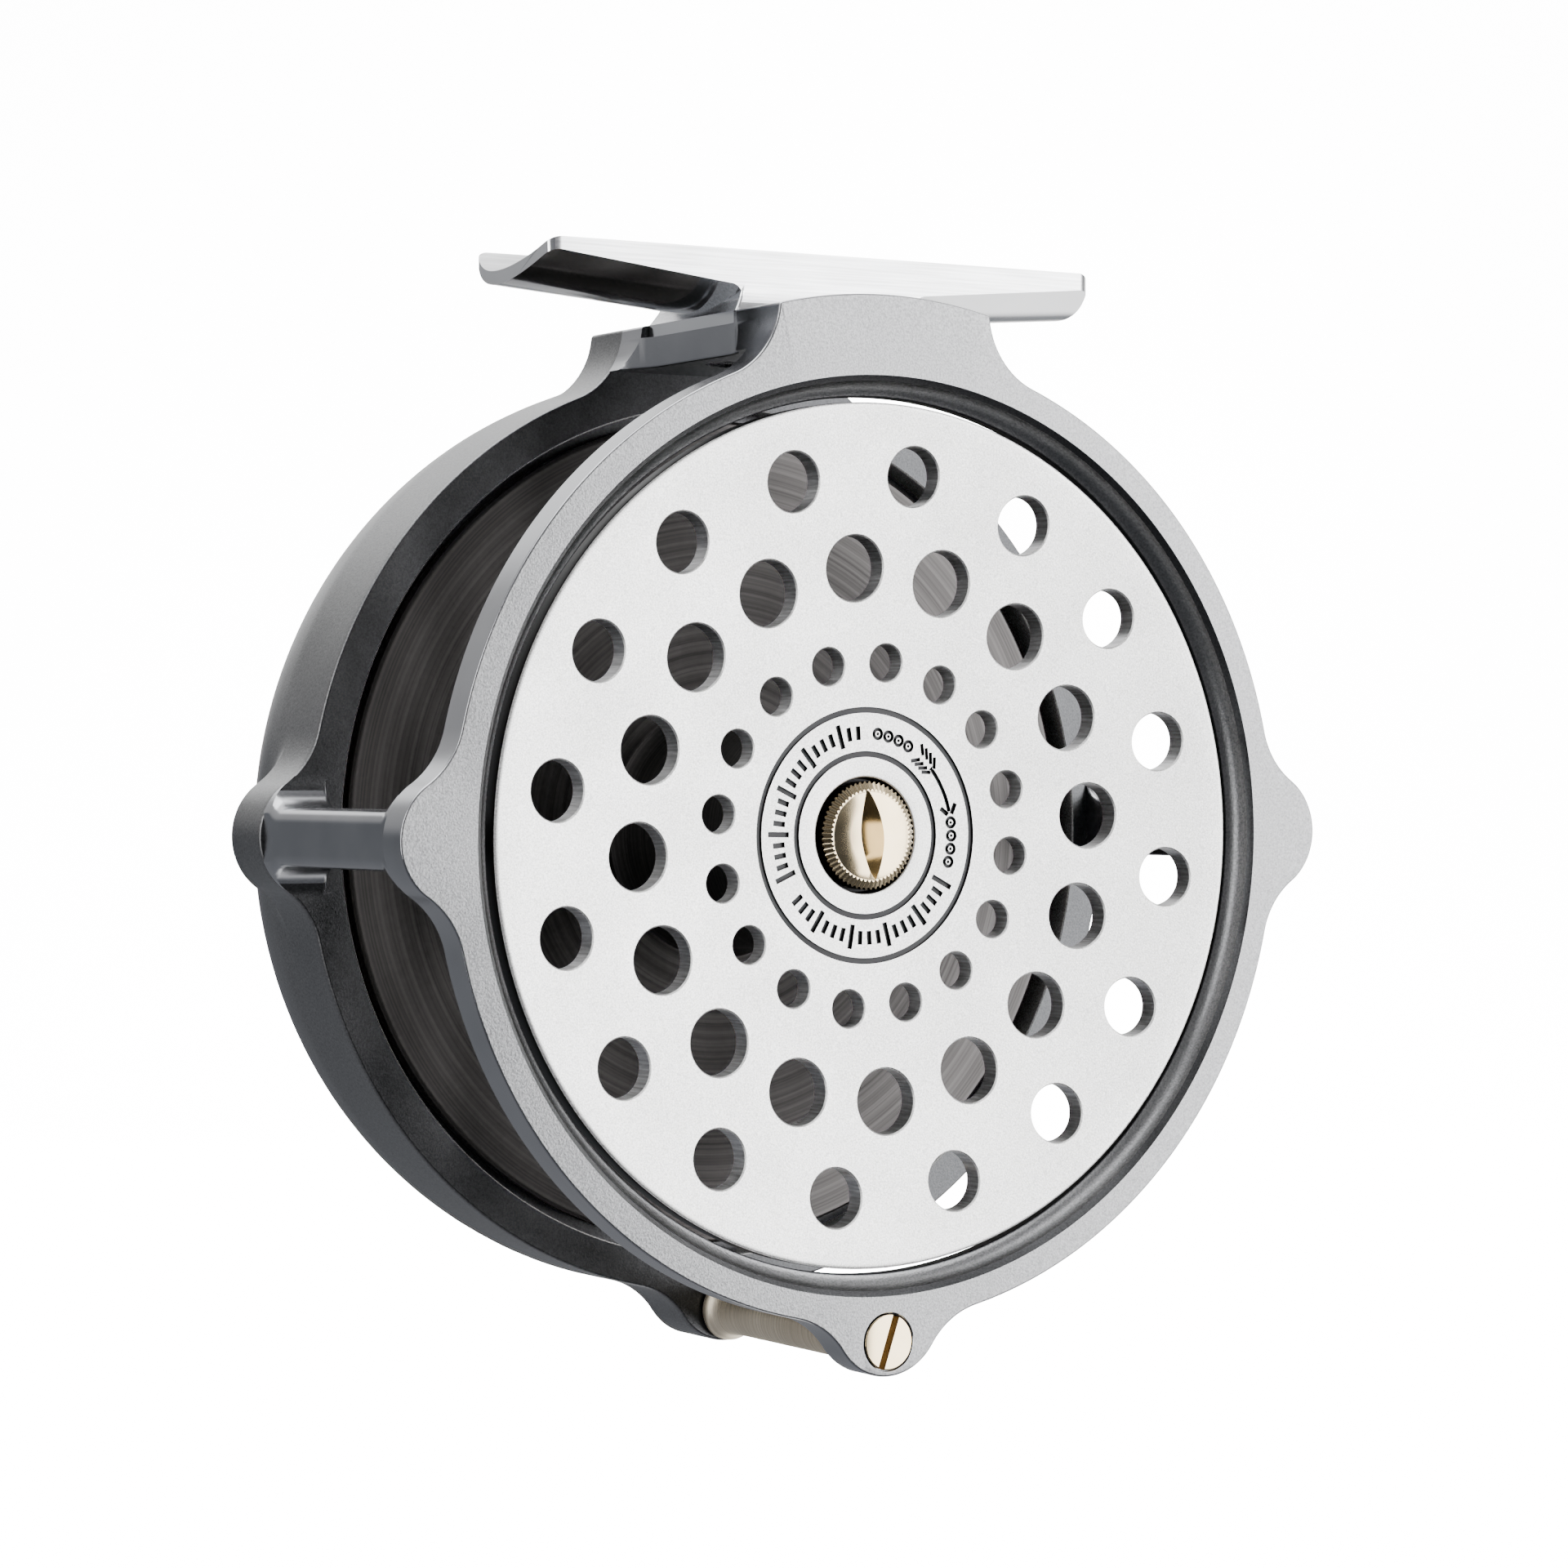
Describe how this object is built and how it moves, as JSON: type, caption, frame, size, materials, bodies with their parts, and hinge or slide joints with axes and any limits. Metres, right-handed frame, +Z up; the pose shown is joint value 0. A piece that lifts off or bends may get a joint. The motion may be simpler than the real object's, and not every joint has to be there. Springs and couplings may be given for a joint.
{
  "type": "fly reel",
  "caption": "Centre-pin fly reel with a dished perforated front plate, raised-lobe cage, grooved reel foot, line guard roller and a rear plate with handle.",
  "frame": {"origin": "middle of the hollow saddle of the reel foot, where the rod lies", "axes": "+Z up through the foot, +X along the foot and the rod, +Y along the spindle towards the handle"},
  "size_m": [0.101, 0.0722, 0.1055],
  "materials": {
    "satin_aluminium": "fine bead-blasted satin anodising",
    "plate_aluminium": "pale matte satin anodising",
    "turned_aluminium": "dark grey with fine turned rings",
    "bright_aluminium": "bright, brushed sides and polished underside",
    "nickel_silver": "polished pale nickel silver",
    "steel": "ground steel",
    "spring_steel": "blued spring steel",
    "bronze": "bearing bronze",
    "dark_resin": "polished dark resin"
  },
  "bodies": {
    "frame": {"frame_cage": "satin_aluminium", "reel_foot": "bright_aluminium", "foot_screw_left": "steel", "foot_screw_right": "steel", "guard_axle_screw": "nickel_silver", "front_bearing_outer_ring": "steel", "rear_bearing_outer_ring": "steel", "bearing_retaining_ring": "spring_steel", "pawl_pivot_post": "steel", "check_spring": "spring_steel", "spring_post": "nickel_silver"},
    "spool": {"spool_front_plate": "plate_aluminium", "spool_arbor": "turned_aluminium", "spool_back_flange": "turned_aluminium", "spool_bush": "bronze", "flange_screw_1": "steel", "flange_screw_2": "steel", "flange_screw_3": "steel", "spindle": "steel", "drive_pin": "steel", "front_bearing_inner_ring": "steel", "rear_bearing_inner_ring": "steel", "bearing_spacer": "steel", "ratchet_wheel": "steel", "handle_plate": "satin_aluminium", "handle_plate_screw": "nickel_silver", "handle_stem": "nickel_silver", "handle_end_cap": "nickel_silver"},
    "front_balls": {"front_bearing_balls": "steel"},
    "rear_balls": {"rear_bearing_balls": "steel"},
    "lock_screw": {"lock_screw": "nickel_silver"},
    "handle_grip": {"handle_knob": "dark_resin"},
    "line_roller": {"guard_roller": "nickel_silver"},
    "check_pawl": {"check_pawl": "steel"},
    "regulator": {"regulator_knob": "nickel_silver", "regulator_cam": "steel"}
  },
  "joints": [
    {"name": "spool_spin", "type": "hinge", "parent": "frame", "child": "spool", "pos_m": [0, -0.01505, -0.0525], "axis": [0, 1, 0], "continuous": true},
    {"name": "front_balls_spin", "type": "hinge", "parent": "frame", "child": "front_balls", "pos_m": [0, 0.01695, -0.0525], "axis": [0, 1, 0], "continuous": true},
    {"name": "rear_balls_spin", "type": "hinge", "parent": "frame", "child": "rear_balls", "pos_m": [0, 0.02195, -0.0525], "axis": [0, 1, 0], "continuous": true},
    {"name": "lock_screw_turn", "type": "hinge", "parent": "spool", "child": "lock_screw", "pos_m": [0, -0.01505, -0.0525], "axis": [0, 1, 0], "continuous": true},
    {"name": "handle_spin", "type": "hinge", "parent": "spool", "child": "handle_grip", "pos_m": [0.02537, 0.04295, -0.06173], "axis": [0, 1, 0], "continuous": true},
    {"name": "line_roller_spin", "type": "hinge", "parent": "frame", "child": "line_roller", "pos_m": [0, -0.00105, -0.0997], "axis": [0, 1, 0], "continuous": true},
    {"name": "check_pawl_lift", "type": "hinge", "parent": "frame", "child": "check_pawl", "pos_m": [0.02114, 0.02525, -0.05631], "axis": [0, -1, 0], "range_deg": [0, 8], "stiffness_Nm_per_rad": 0.02, "deforming": ["check_spring"]},
    {"name": "regulator_turn", "type": "hinge", "parent": "frame", "child": "regulator", "pos_m": [0, 0.02465, -0.0525], "axis": [0.8192, 0, -0.5736], "range_deg": [0, 270]}
  ],
  "couplings": [
    {"joint": "front_balls_spin", "follows": "spool_spin", "ratio": 0.4213},
    {"joint": "rear_balls_spin", "follows": "spool_spin", "ratio": 0.4213}
  ]
}
